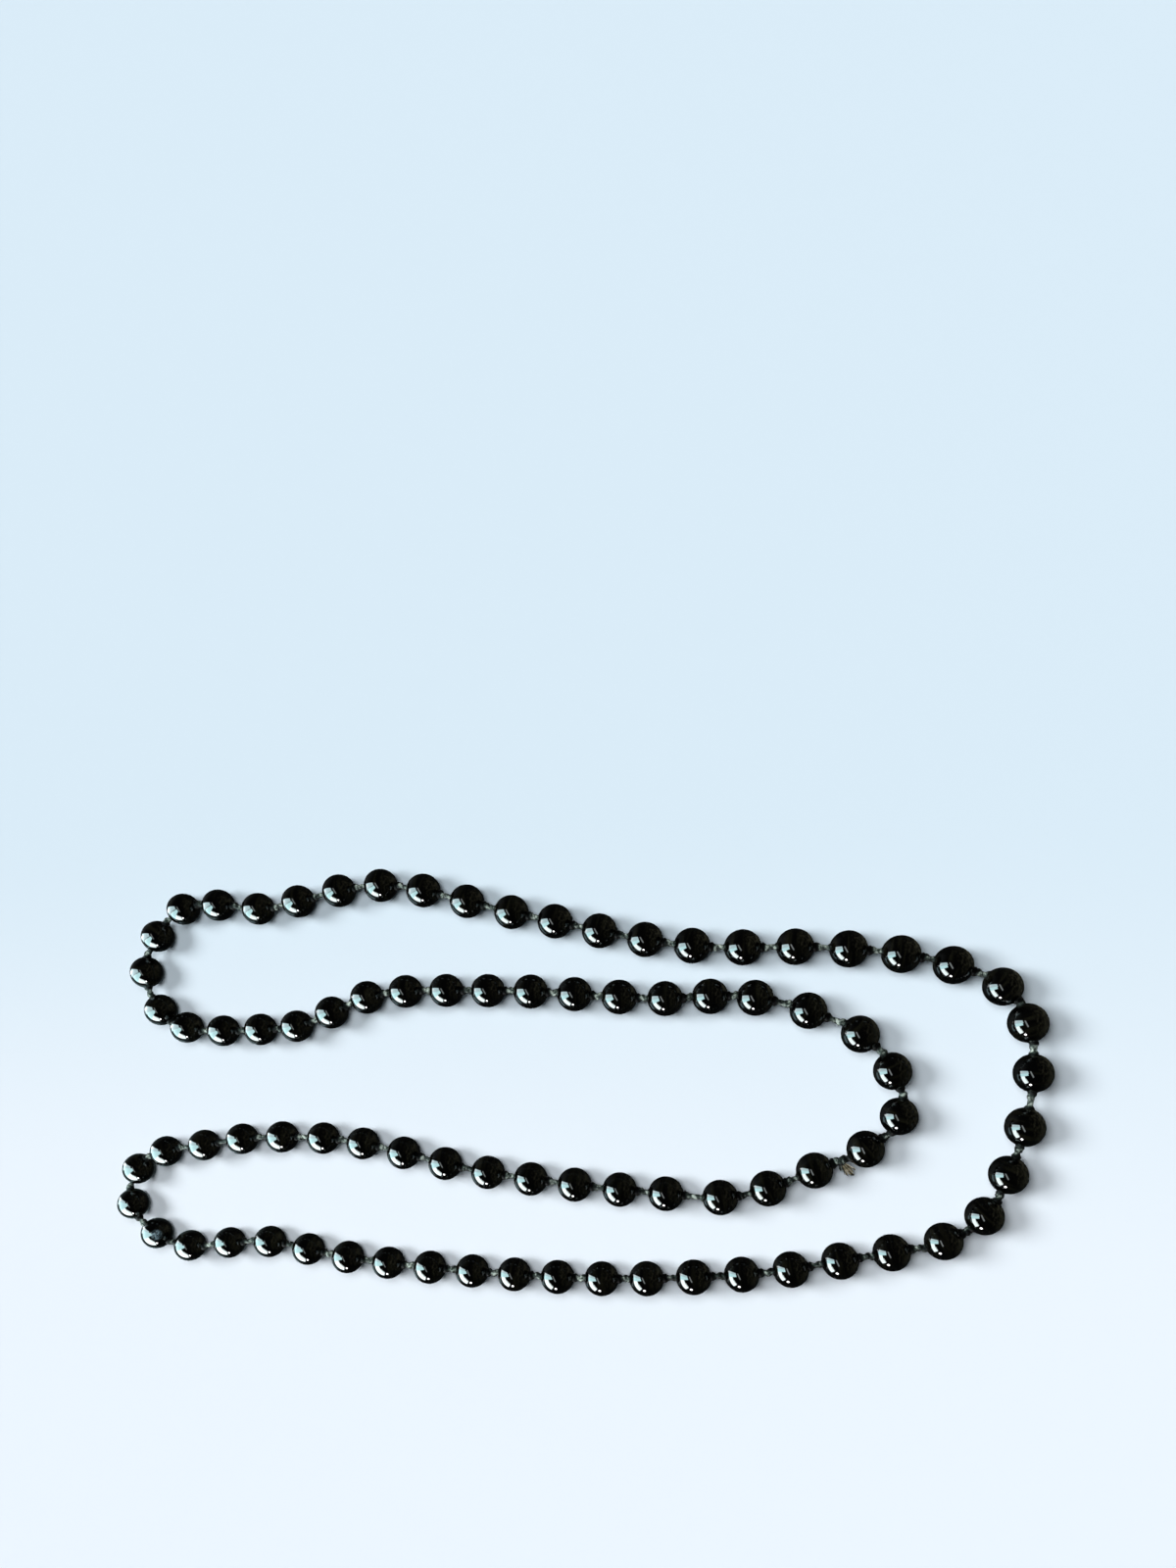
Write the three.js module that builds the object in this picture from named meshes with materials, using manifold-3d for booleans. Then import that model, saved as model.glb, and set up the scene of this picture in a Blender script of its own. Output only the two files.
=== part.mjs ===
import * as THREE from 'three';
import { mergeVertices } from 'three/addons/utils/BufferGeometryUtils.js';
import Module from 'manifold-3d';

// An endless strand of polished black beads, knotted between every two beads and laid flat
// in two narrow loops. It has no clasp: one bigger tie-off knot with two cut ends closes it.
// Millimetres, +Z up. The beads rest on Z = 0, and the origin is the middle of their outline.

// Beads
const beadCount = 84;
const beadDiameter = 8;
const holeMouth = 1.8; // small flat round the drilled hole
const beadSides = 10;
const beadArcSteps = 4; // from one hole flat to the other, over the widest ring

// Silk between the beads
const beadGap = 3; // mean thread and knot that show between two beads
const threadDiameter = 0.7;
const knotDiameter = 1.8;
const knotLength = 1.4;
const threadSides = 5;
const threadSink = 0.5; // how far the thread's solid enters a drilled hole
const knotShoulder = 0.3; // share of a knot's length over which it narrows at each end

// Tie-off knot that closes the loop
const tieKnotDiameter = 2.5;
const tieKnotLength = 1.9;
const tailDiameter = 0.9;
const tailLength = 3.2;
const tailDrop = 35; // degrees below level
const tailSpread = 16; // degrees to either side of the tails' middle line
const tailTurn = -100; // degrees from the string's direction, seen from above

// Room left between two pieces of the string that meet
const meetingGap = 0.3;

// The string is made in two halves. Bead 82 starts the first, which ends with bead 39.
const firstHalfStart = 82;
const secondHalfStart = 40;

// Beads are numbered round the loop. Some are placed by hand, in mean bead pitches, and the
// others lie evenly between them on one smooth curve.
const routeStops = [
  { bead: 0, x: 7.55, y: 0.55 },
  { bead: 3, x: 4.85, y: 1.95 },
  { bead: 5, x: 3, y: 1.9 },
  { bead: 9, x: -0.9, y: 2 },
  { bead: 12, x: -3.8, y: 1.8 },
  { bead: 14, x: -5.6, y: 1.1 },
  { bead: 15, x: -6.55, y: 1 },
  { bead: 18, x: -9.25, y: 1.4 },
  { bead: 19, x: -9.6, y: 2.3 },
  { bead: 21, x: -8.5, y: 3.8 },
  { bead: 23, x: -6.5, y: 3.8 },
  { bead: 26, x: -3.4, y: 4.3 },
  { bead: 29, x: -0.35, y: 3.7 },
  { bead: 33, x: 3.55, y: 3 },
  { bead: 36, x: 6.65, y: 2.95 },
  { bead: 38, x: 8.6, y: 2.65 },
  { bead: 39, x: 9.5, y: 2.25 },
  { bead: 43, x: 9.75, y: -1.4 },
  { bead: 44, x: 9.35, y: -2.25 },
  { bead: 47, x: 6.65, y: -3.4 },
  { bead: 51, x: 2.65, y: -4.15 },
  { bead: 55, x: -1.35, y: -4.35 },
  { bead: 58, x: -4.45, y: -4.3 },
  { bead: 60, x: -6.5, y: -4.1 },
  { bead: 63, x: -9.65, y: -4.15 },
  { bead: 64, x: -10.3, y: -3.45 },
  { bead: 65, x: -10.1, y: -2.55 },
  { bead: 67, x: -8.2, y: -1.85 },
  { bead: 70, x: -5, y: -1.5 },
  { bead: 74, x: -0.95, y: -2.05 },
  { bead: 78, x: 3.05, y: -2.25 },
  { bead: 79, x: 4.2, y: -2.25 },
  { bead: 81, x: 6.1, y: -1.55 },
  { bead: 83, x: 7.7, y: -0.35 },
];

const beadPitch = beadDiameter + beadGap;
const beadRadius = beadDiameter / 2;
const threadRadius = threadDiameter / 2;
const up = new THREE.Vector3(0, 0, 1);

const wasm = await Module();
wasm.setup();

const beadMaterial = new THREE.MeshStandardMaterial({ color: 0x0b0c0b, roughness: 0.05, metalness: 0 });
const silkMaterial = new THREE.MeshStandardMaterial({ color: 0x7f8f76, roughness: 0.7, metalness: 0 });

// Half of a bead along its hole, from its middle to the flat at the hole's mouth
function holeReach() {
  return Math.sqrt(beadRadius ** 2 - (holeMouth / 2) ** 2);
}

// Centre of every bead, shifted so that the outline's middle is the origin
function placeBeads() {
  const points = routeStops.map((stop) => new THREE.Vector3(stop.x, stop.y, 0).multiplyScalar(beadPitch));
  const curve = new THREE.CatmullRomCurve3(points, true, 'chordal');
  const places = [];
  routeStops.forEach((stop, i) => {
    const next = routeStops[(i + 1) % routeStops.length];
    const steps = (next.bead - stop.bead + beadCount) % beadCount;
    for (let step = 0; step < steps; step += 1) {
      places[stop.bead + step] = curve.getPoint((i + step / steps) / routeStops.length);
    }
  });
  const middle = new THREE.Box3().setFromPoints(places).getCenter(new THREE.Vector3());
  return places.map((place) => place.sub(middle).setZ(beadRadius));
}

const beadPlaces = placeBeads();

function placeOf(bead) {
  return beadPlaces[(bead + beadCount) % beadCount];
}

// Direction of a bead's hole: in line with its two neighbours
function holeDirection(bead) {
  return placeOf(bead + 1).clone().sub(placeOf(bead - 1)).normalize();
}

// Mouth of a bead's hole, towards the next bead (side 1) or the one before (side -1)
function mouthOf(bead, side) {
  return placeOf(bead).clone().addScaledVector(holeDirection(bead), side * holeReach());
}

// Turns a lathed shape, made along Y, to lie along a direction with one of its corners down,
// and moves its start to a point
function layAlong(geometry, start, direction) {
  const side = new THREE.Vector3().crossVectors(direction, up).normalize();
  const top = new THREE.Vector3().crossVectors(side, direction);
  const turn = new THREE.Matrix4().makeBasis(side, direction, top);
  return geometry.applyMatrix4(turn.setPosition(start));
}

// A closed mesh as a solid that can be joined to others
function toSolid(geometry) {
  geometry.deleteAttribute('normal');
  geometry.deleteAttribute('uv');
  const merged = mergeVertices(geometry, 1e-4);
  const triVerts = [];
  for (let i = 0; i < merged.index.count; i += 3) {
    const [a, b, c] = merged.index.array.slice(i, i + 3);
    if (a !== b && b !== c && c !== a) {
      triVerts.push(a, b, c);
    }
  }
  const vertProperties = new Float32Array(merged.attributes.position.array);
  const mesh = new wasm.Mesh({ numProp: 3, vertProperties, triVerts: new Uint32Array(triVerts) });
  return new wasm.Manifold(mesh);
}

function toGeometry(solid) {
  const mesh = solid.getMesh();
  const geometry = new THREE.BufferGeometry();
  geometry.setAttribute('position', new THREE.BufferAttribute(mesh.vertProperties, 3));
  geometry.setIndex(new THREE.BufferAttribute(mesh.triVerts, 1));
  geometry.computeVertexNormals();
  return geometry;
}

function join(solids) {
  return solids.reduce((whole, solid) => whole.add(solid));
}

// One bead: a ball whose ends are cut flat round the hole
function beadSolid(bead) {
  const mouthAngle = Math.asin(holeMouth / 2 / beadRadius);
  const profile = [new THREE.Vector2(0, -holeReach())];
  for (let step = 0; step <= beadArcSteps; step += 1) {
    const angle = THREE.MathUtils.lerp(mouthAngle, Math.PI - mouthAngle, step / beadArcSteps);
    profile.push(new THREE.Vector2(beadRadius * Math.sin(angle), -beadRadius * Math.cos(angle)));
  }
  profile.push(new THREE.Vector2(0, holeReach()));
  const ball = new THREE.LatheGeometry(profile, beadSides);
  return toSolid(layAlong(ball, placeOf(bead), holeDirection(bead)));
}

// A round body along Y through stations, each a place along it and the width there
function lathed(stations) {
  const last = stations[stations.length - 1];
  const profile = stations.map(([along, width]) => new THREE.Vector2(width / 2, along));
  profile.unshift(new THREE.Vector2(0, stations[0][0]));
  profile.push(new THREE.Vector2(0, last[0]));
  return new THREE.LatheGeometry(profile, threadSides);
}

// Thread from one bead to the next, its knot drawn up against the first. Where it ends a half
// of the string it stops short of the next bead.
function linkSolid(bead, endsHalf) {
  const start = mouthOf(bead, 1);
  const end = mouthOf(bead + 1, -1);
  const direction = end.clone().sub(start).normalize();
  const shown = start.distanceTo(end);
  const run = Math.min(knotLength, shown - meetingGap);
  const shoulder = run * knotShoulder;
  const link = lathed([
    [-threadSink, threadDiameter],
    [shoulder, knotDiameter],
    [run - shoulder, knotDiameter],
    [run, threadDiameter],
    [endsHalf ? shown - meetingGap : shown + threadSink, threadDiameter],
  ]);
  return toSolid(layAlong(link, start, direction));
}

// One half of the string: its beads with the thread between them, as one body
function stringHalf(name, first, count, endsInThread) {
  const solids = [];
  for (let step = 0; step < count; step += 1) {
    const bead = (first + step) % beadCount;
    const last = step === count - 1;
    solids.push(beadSolid(bead));
    if (!last || endsInThread) {
      solids.push(linkSolid(bead, last));
    }
  }
  const mesh = new THREE.Mesh(toGeometry(join(solids)), beadMaterial.clone());
  mesh.name = name;
  return mesh;
}

// Tie-off knot with its two cut ends, between the last bead of the string and the first
function closingKnot(name) {
  const before = mouthOf(firstHalfStart - 1, 1);
  const after = mouthOf(firstHalfStart, -1);
  const direction = after.clone().sub(before).normalize();
  const middle = before.clone().add(after).multiplyScalar(0.5);
  const reach = before.distanceTo(after) / 2 - meetingGap;
  const half = Math.min(tieKnotLength / 2, reach - meetingGap);
  const belt = half * (1 - 2 * knotShoulder);
  const knot = lathed([
    [-reach, threadDiameter],
    [-half, threadDiameter],
    [-belt, tieKnotDiameter],
    [belt, tieKnotDiameter],
    [half, threadDiameter],
    [reach, threadDiameter],
  ]);
  const solids = [toSolid(layAlong(knot, middle, direction))];
  const drop = THREE.MathUtils.degToRad(tailDrop);
  for (const spread of [-tailSpread, tailSpread]) {
    const tail = lathed([
      [0, tailDiameter],
      [tailLength, tailDiameter],
    ]);
    const away = direction.clone().applyAxisAngle(up, THREE.MathUtils.degToRad(tailTurn + spread));
    away.multiplyScalar(Math.cos(drop)).addScaledVector(up, -Math.sin(drop));
    solids.push(toSolid(layAlong(tail, middle, away)));
  }
  const mesh = new THREE.Mesh(toGeometry(join(solids)), silkMaterial);
  mesh.name = name;
  return mesh;
}

const necklace = new THREE.Group();
const firstHalfCount = (secondHalfStart - firstHalfStart + beadCount) % beadCount;
necklace.add(stringHalf('bead_string_upper', firstHalfStart, firstHalfCount, true));
necklace.add(stringHalf('bead_string_lower', secondHalfStart, beadCount - firstHalfCount, false));
necklace.add(closingKnot('closing_knot'));

export default necklace;
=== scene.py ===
from functools import partial
from math import cos, pi, radians, sin, sqrt

import bpy
from mathutils import Matrix, Vector


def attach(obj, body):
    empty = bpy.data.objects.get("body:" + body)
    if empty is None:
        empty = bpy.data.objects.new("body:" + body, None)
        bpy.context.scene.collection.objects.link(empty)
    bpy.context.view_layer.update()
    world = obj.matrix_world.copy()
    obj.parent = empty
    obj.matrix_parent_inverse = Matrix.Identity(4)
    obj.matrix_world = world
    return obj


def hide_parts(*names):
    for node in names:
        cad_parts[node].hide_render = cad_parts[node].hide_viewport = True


# Endless strand of polished black onyx beads on silk, knotted between the beads and laid
# flat in two narrow loops. Metres, Z up, beads resting on Z = 0.

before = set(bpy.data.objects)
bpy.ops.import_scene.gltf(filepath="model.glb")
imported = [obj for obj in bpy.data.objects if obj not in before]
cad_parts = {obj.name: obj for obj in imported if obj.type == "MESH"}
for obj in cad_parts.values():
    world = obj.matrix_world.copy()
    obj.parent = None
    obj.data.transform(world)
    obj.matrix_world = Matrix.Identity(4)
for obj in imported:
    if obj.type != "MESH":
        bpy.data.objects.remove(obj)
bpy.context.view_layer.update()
mm = 0.001


# Puts a new object in the scene
def addObject(name, data):
    thing = bpy.data.objects.new(name, data)
    bpy.context.scene.collection.objects.link(thing)
    return thing


# Camera

cameraSettings = {
    "place": (0.0690, 0.0375, 0.2143),
    "turn": (-5.67, 14.183, 0),  # degrees: nearly straight down, tipped a little left and up
    "lens": 21.375,
    "sensorWidth": 36,
    "shiftUp": 0.1506,
    "nearest": 0.01,
}


def makeCamera(settings):
    data = bpy.data.cameras.new("camera")
    data.lens = settings["lens"]
    data.sensor_width = settings["sensorWidth"]
    data.shift_y = settings["shiftUp"]
    data.clip_start = settings["nearest"]
    camera = addObject("camera", data)
    camera.location = settings["place"]
    camera.rotation_euler = [radians(angle) for angle in settings["turn"]]
    bpy.context.scene.camera = camera


makeCamera(cameraSettings)
bpy.context.scene.view_settings.view_transform = "Standard"
print("camera placed")


# Small helpers

def toLinear(hexColour):
    channels = []
    for start in (0, 2, 4):
        value = int(hexColour[start:start + 2], 16) / 255
        channels.append(value / 12.92 if value <= 0.04045 else ((value + 0.055) / 1.055) ** 2.4)
    return (*channels, 1)


# Adds one node to a tree. Its inputs in use are given by name or number. One takes a value,
# another node's output, or a node, which stands for its first output in use. The stops of a
# colour ramp are (position, colour).
def addNode(tree, kind, inputs=None, ramp=(), **settings):
    node = tree.nodes.new(kind)
    for name, value in settings.items():
        setattr(node, name, value)
    for name, value in (inputs or {}).items():
        sockets = [socket for socket in node.inputs if socket.enabled]
        socket = sockets[name] if isinstance(name, int) else next(s for s in sockets if s.name == name)
        if isinstance(value, bpy.types.Node):
            value = next(output for output in value.outputs if output.enabled)
        if isinstance(value, bpy.types.NodeSocket):
            tree.links.new(value, socket)
        else:
            socket.default_value = value
    for position, colour in ramp[1:-1]:
        node.color_ramp.elements.new(position)
    for i, (position, colour) in enumerate(ramp):
        node.color_ramp.elements[i].position = position
        node.color_ramp.elements[i].color = colour
    return node


def newMaterial(name):
    material = bpy.data.materials.new(name)
    material.use_nodes = True
    material.node_tree.nodes.clear()
    return material


# A Geometry Nodes tree, what its input node gives and what its output node takes. Its inputs
# are listed by socket type, and have the names that the settings have.
def newTree(name, inputs):
    tree = bpy.data.node_groups.new(name, "GeometryNodeTree")
    for kind, labels in {"Geometry": ["Geometry"], **inputs}.items():
        for label in labels:
            tree.interface.new_socket(label, in_out="INPUT", socket_type="NodeSocket" + kind)
    tree.interface.new_socket("Geometry", in_out="OUTPUT", socket_type="NodeSocketGeometry")
    given = tree.nodes.new("NodeGroupInput").outputs
    result = tree.nodes.new("NodeGroupOutput").inputs
    return tree, given, result


# Smooth shading and the material, which end every tree
def dressMesh(tree, mesh, given, result):
    smooth = addNode(tree, "GeometryNodeSetShadeSmooth", {"Geometry": mesh})
    dressed = addNode(tree, "GeometryNodeSetMaterial", {
        "Geometry": smooth, "Material": given["material"],
    })
    tree.links.new(dressed.outputs["Geometry"], result["Geometry"])


# Rotation to a stored direction, with a random roll about it
def turnAlong(tree, mark, given):
    add = partial(addNode, tree)
    direction = add("GeometryNodeInputNamedAttribute", {"Name": mark}, data_type="FLOAT_VECTOR")
    aligned = add("FunctionNodeAlignRotationToVector", {"Vector": direction}, axis="Z")
    roll = add("FunctionNodeRandomValue", {"Min": 0.0, "Max": 2 * pi, "Seed": given["seed"]})
    rolled = add("FunctionNodeAxisAngleToRotation", {"Axis": (0, 0, 1), "Angle": roll})
    return add("FunctionNodeRotateRotation", {
        "Rotation": aligned, "Rotate By": rolled,
    }, rotation_space="LOCAL")


# Runs a tree on a source object and keeps the result as a plain mesh at the origin
def growMesh(name, source, tree, inputs):
    modifier = source.modifiers.new(tree.name, "NODES")
    modifier.node_group = tree
    for socket in tree.interface.items_tree:
        if socket.in_out == "INPUT" and socket.name in inputs:
            modifier[socket.identifier] = inputs[socket.name]
    graph = bpy.context.evaluated_depsgraph_get()
    evaluated = source.evaluated_get(graph)
    mesh = bpy.data.meshes.new_from_object(evaluated, preserve_all_data_layers=True, depsgraph=graph)
    mesh.name = name
    bpy.data.objects.remove(source)
    print(name, "has", len(mesh.polygons), "faces")
    return addObject(name, mesh)


# Route of the string: some beads placed at listed points, in bead pitches, the others evenly
# between them on one smooth curve. The same points as in the part's source.

stringSettings = {
    "beadCount": 84,
    "beadDiameter": 8 * mm,
    "beadPitch": 11 * mm,
    "holeMouth": 1.8 * mm,
    "firstHalfStart": 82,
    "secondHalfStart": 40,
}

routeStops = [
    (0, 7.55, 0.55), (3, 4.85, 1.95), (5, 3, 1.9), (9, -0.9, 2), (12, -3.8, 1.8),
    (14, -5.6, 1.1), (15, -6.55, 1), (18, -9.25, 1.4), (19, -9.6, 2.3), (21, -8.5, 3.8),
    (23, -6.5, 3.8), (26, -3.4, 4.3), (29, -0.35, 3.7), (33, 3.55, 3), (36, 6.65, 2.95),
    (38, 8.6, 2.65), (39, 9.5, 2.25), (43, 9.75, -1.4), (44, 9.35, -2.25), (47, 6.65, -3.4),
    (51, 2.65, -4.15), (55, -1.35, -4.35), (58, -4.45, -4.3), (60, -6.5, -4.1),
    (63, -9.65, -4.15), (64, -10.3, -3.45), (65, -10.1, -2.55), (67, -8.2, -1.85),
    (70, -5, -1.5), (74, -0.95, -2.05), (78, 3.05, -2.25), (79, 4.2, -2.25),
    (81, 6.1, -1.55), (83, 7.7, -0.35),
]

beadRadius = stringSettings["beadDiameter"] / 2
# from a bead's middle to the mouth of its hole
holeReach = sqrt(beadRadius ** 2 - (stringSettings["holeMouth"] / 2) ** 2)


# Slope of the smooth curve at b, where it comes from a and goes on to c
def slopeAt(a, b, c):
    before = (b - a).length
    after = (c - b).length
    return (b - a) / before - (c - a) / (before + after) + (c - b) / after


def placeBeads(settings):
    count = settings["beadCount"]
    stops = [Vector((x, y)) * settings["beadPitch"] for bead, x, y in routeStops]
    places = [None] * count
    for i, (bead, x, y) in enumerate(routeStops):
        a, b, c, d = (stops[(i + step) % len(stops)] for step in (-1, 0, 1, 2))
        reach = (c - b).length
        leaving = slopeAt(a, b, c) * reach
        arriving = slopeAt(b, c, d) * reach
        square = (c - b) * 3 - leaving * 2 - arriving
        cube = (b - c) * 2 + leaving + arriving
        steps = (routeStops[(i + 1) % len(stops)][0] - bead) % count
        for step in range(steps):
            t = step / steps
            places[bead + step] = b + leaving * t + square * t ** 2 + cube * t ** 3
    low = Vector((min(p.x for p in places), min(p.y for p in places)))
    high = Vector((max(p.x for p in places), max(p.y for p in places)))
    middle = (low + high) / 2
    return [(p - middle).to_3d() + Vector((0, 0, beadRadius)) for p in places]


beadPlaces = placeBeads(stringSettings)


def placeOf(bead):
    return beadPlaces[bead % len(beadPlaces)]


def holeDirection(bead):
    return (placeOf(bead + 1) - placeOf(bead - 1)).normalized()


# Mouth of a bead's hole, towards the next bead (side 1) or the one before (side -1)
def mouthOf(bead, side):
    return placeOf(bead) + holeDirection(bead) * side * holeReach


def beadsOfHalf(first, last):
    count = stringSettings["beadCount"]
    return [(first + step) % count for step in range((last - first) % count)]


upperBeads = beadsOfHalf(stringSettings["firstHalfStart"], stringSettings["secondHalfStart"])
lowerBeads = beadsOfHalf(stringSettings["secondHalfStart"], stringSettings["firstHalfStart"])
print("route has", len(beadPlaces), "beads")


# Polished black onyx: dyed banded quartz, tumbled round, then polished to a mirror. The eye
# sees almost no colour of its own, only sharp reflections with faint waves, a few soft
# smudges in them and, where light catches it, a hint of brown-green bands.

onyxSettings = {
    "dark": "020202",
    "band": "11110b",
    "bandEdge": (0.5, 0.72),  # of the noise: where a band starts, and where it is full
    "bandThickness": 0.9 * mm,
    "bandSpread": 9,  # a band's width across the hole, as a multiple of its thickness
    "ior": 1.54,
    "wave": 2.6 * mm,  # width of the faint flats left by tumbling
    "waveDepth": 0.006 * mm,
    "smudge": 1.7 * mm,
    "roughness": (0.025, 0.07),  # clean, and in a smudge
    "dust": "76909c",
    "dustGrain": 0.5 * mm,
    "dustRoughness": 0.55,
    "scuffs": [
        # bead, offset from its middle, radius
        (63, (2.3 * mm, 0.6 * mm, 3.1 * mm), 1.7 * mm),
        (59, (-1.1 * mm, 1.4 * mm, 3.5 * mm), 0.7 * mm),
    ],
}


def polishedBlackOnyx(settings):
    material = newMaterial("polishedBlackOnyx")
    tree = material.node_tree
    add = partial(addNode, tree)
    grain = add("ShaderNodeAttribute", attribute_name="beadGrain").outputs["Vector"]
    place = add("ShaderNodeTexCoord").outputs["Object"]

    # bands lie across the hole, thin along it and wide across
    thin = 1 / settings["bandThickness"]
    wide = thin / settings["bandSpread"]
    stretched = add("ShaderNodeMapping", {"Vector": grain, "Scale": (wide, wide, thin)})
    bands = add("ShaderNodeTexNoise", {
        "Vector": stretched, "Scale": 1, "Detail": 3, "Roughness": 0.45, "Distortion": 0.6,
    })
    colour = add("ShaderNodeValToRGB", {"Fac": bands}, ramp=[
        (settings["bandEdge"][0], toLinear(settings["dark"])),
        (settings["bandEdge"][1], toLinear(settings["band"])),
    ])

    smudges = add("ShaderNodeTexNoise", {
        "Vector": grain, "Scale": 1 / settings["smudge"], "Detail": 4, "Roughness": 0.6,
    })
    roughness = add("ShaderNodeMapRange", {
        "Value": smudges,
        "From Min": 0.5,
        "From Max": 0.75,
        "To Min": settings["roughness"][0],
        "To Max": settings["roughness"][1],
    }, interpolation_type="SMOOTHSTEP")

    # dust that clings to the scuffed places in specks
    speckle = add("ShaderNodeTexNoise", {
        "Vector": place, "Scale": 1 / settings["dustGrain"], "Detail": 5, "Roughness": 0.7,
    })
    broken = add("ShaderNodeMapRange", {"Value": speckle, "From Min": 0.4, "From Max": 0.62})
    for bead, offset, radius in settings["scuffs"]:
        away = add("ShaderNodeVectorMath", {
            0: place, 1: placeOf(bead) + Vector(offset),
        }, operation="DISTANCE")
        near = add("ShaderNodeMapRange", {
            "Value": away, "From Min": radius, "From Max": radius * 0.3,
        }, interpolation_type="SMOOTHSTEP")
        dusty = add("ShaderNodeMath", {0: near, 1: broken}, operation="MULTIPLY")
        colour = add("ShaderNodeMix", {
            "Factor": dusty, "A": colour, "B": toLinear(settings["dust"]),
        }, data_type="RGBA")
        roughness = add("ShaderNodeMix", {
            "Factor": dusty, "A": roughness, "B": settings["dustRoughness"],
        })

    flats = add("ShaderNodeTexNoise", {
        "Vector": grain, "Scale": 1 / settings["wave"], "Detail": 1,
    })
    bump = add("ShaderNodeBump", {
        "Height": flats, "Strength": 1, "Distance": settings["waveDepth"],
    })
    shader = add("ShaderNodeBsdfPrincipled", {
        "Base Color": colour, "Roughness": roughness, "IOR": settings["ior"], "Normal": bump,
    })
    add("ShaderNodeOutputMaterial", {"Surface": shader})
    return material


# Twisted silk bead cord, two plies, dyed dark grey-green. Its colour holds painted light and
# shade: paler on top and on the raised plies as a painted soft sheen, near black in the grooves
# and at the necks where the cord enters a bead as painted shade, with fine streaks along the fibres.

silkSettings = {
    "shades": ("030303", "29322e", "abb9b0"),  # in the painted shade of the grooves, on the sides, in the painted sheen on the raised plies
    "endShades": ("1c180f", "857d62", "efe8d4"),  # undyed tan where the cord was cut
    "shadeStops": (0.1, 0.42, 1.0),
    "fibre": 0.12 * mm,  # real fibres are finer: drawn this coarse to show
    "fibreRun": 1.3 * mm,
    "fibreDepth": 0.03 * mm,
    "ridge": (0.44 * mm, 0.6 * mm),  # from the middle of the cord: groove and raised ply
    "neck": (0.15 * mm, 0.9 * mm),  # painted shade at the neck, from the bead: still black, and quite clear of it
    "patch": 1.1 * mm,
    "wear": (0.45, 1.9),  # tone of the least and the most worn patches
    "roughness": 0.55,
    "gloss": 0.1,  # worn silk reflects little: the shades hold most of what is seen
    "sheen": 0.05,
    "sheenRoughness": 0.4,
}


def twistedSilk(name, settings, shades):
    material = newMaterial(name)
    tree = material.node_tree
    add = partial(addNode, tree)
    around = add("ShaderNodeAttribute", attribute_name="aroundThread").outputs["Vector"]
    along, tone, fromBead, topSide = (
        add("ShaderNodeAttribute", attribute_name=mark).outputs["Fac"]
        for mark in ("alongThread", "threadTone", "fromBead", "topSide")
    )
    place = add("ShaderNodeTexCoord").outputs["Object"]

    # streaks, drawn out along the cord
    run = add("ShaderNodeMath", {
        0: along, 1: settings["fibre"] / settings["fibreRun"],
    }, operation="MULTIPLY")
    drawn = add("ShaderNodeCombineXYZ", {"Z": run})
    streakPlace = add("ShaderNodeVectorMath", {0: around, 1: drawn}, operation="ADD")
    streaks = add("ShaderNodeTexNoise", {
        "Vector": streakPlace, "Scale": 1 / settings["fibre"], "Detail": 3,
    })
    # painted shade: the groove between the plies, where the profile is narrow, is darkened as if in
    # shade
    spread = add("ShaderNodeVectorMath", {0: around}, operation="LENGTH")
    ridge = add("ShaderNodeMapRange", {
        "Value": spread,
        "From Min": settings["ridge"][0],
        "From Max": settings["ridge"][1],
        "To Min": 0.15,
    })
    patches = add("ShaderNodeTexNoise", {
        "Vector": place, "Scale": 1 / settings["patch"], "Detail": 2,
    })
    worn = add("ShaderNodeMapRange", {
        "Value": patches,
        "From Min": 0.35,
        "From Max": 0.65,
        "To Min": settings["wear"][0],
        "To Max": settings["wear"][1],
    })
    # painted shade: darker under the cord, where less light falls, and black where it enters a bead, for
    # the bead's shadow and the hole's recess
    lit = add("ShaderNodeMapRange", {
        "Value": topSide, "From Min": -0.4, "From Max": 0.7, "To Min": 0.25,
    })
    clear = add("ShaderNodeMapRange", {
        "Value": fromBead, "From Min": settings["neck"][0], "From Max": settings["neck"][1],
    }, interpolation_type="SMOOTHSTEP")
    paintedShading = add("ShaderNodeMath", {0: lit, 1: clear}, operation="MULTIPLY")
    shade = streaks
    for operation, by in (("MULTIPLY", ridge), ("MULTIPLY", worn), ("ADD", tone), ("MULTIPLY", paintedShading)):
        shade = add("ShaderNodeMath", {0: shade, 1: by}, operation=operation)
    stops = list(zip(settings["shadeStops"], map(toLinear, shades)))
    colour = add("ShaderNodeValToRGB", {"Fac": shade}, ramp=stops)
    bump = add("ShaderNodeBump", {
        "Height": streaks, "Strength": 0.6, "Distance": settings["fibreDepth"],
    })
    shader = add("ShaderNodeBsdfPrincipled", {
        "Base Color": colour,
        "Roughness": settings["roughness"],
        "Specular IOR Level": settings["gloss"],
        "Sheen Weight": settings["sheen"],
        "Sheen Roughness": settings["sheenRoughness"],
        "Normal": bump,
    })
    add("ShaderNodeOutputMaterial", {"Surface": shader})
    return material


onyx = polishedBlackOnyx(onyxSettings)
silk = twistedSilk("twistedSilkCord", silkSettings, silkSettings["shades"])
cutSilk = twistedSilk("frayedSilkEnds", silkSettings, silkSettings["endShades"])
print("materials made")


# Beads: one lathed bead with rounded hole mouths, set on every bead place with its hole in
# line with the string, turned at random about it and no two quite the same size

beadSettings = {
    "sides": 56,
    "rings": 28,
    "lip": 0.16 * mm,  # rounding at the hole's edge
    "lipSteps": 4,
    "holeDiameter": 1.1 * mm,
    "holeDepth": 1.1 * mm,
    "size": 1.016,  # the photo's beads look this much bigger than the part's round numbers
    "sizeSpread": 0.006,
    "leastShape": (0.986, 0.986, 1.0),  # a bead's stretch, the last number along its hole
    "mostShape": (1.0, 1.0, 1.02),
    "seed": 11,
}


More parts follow.
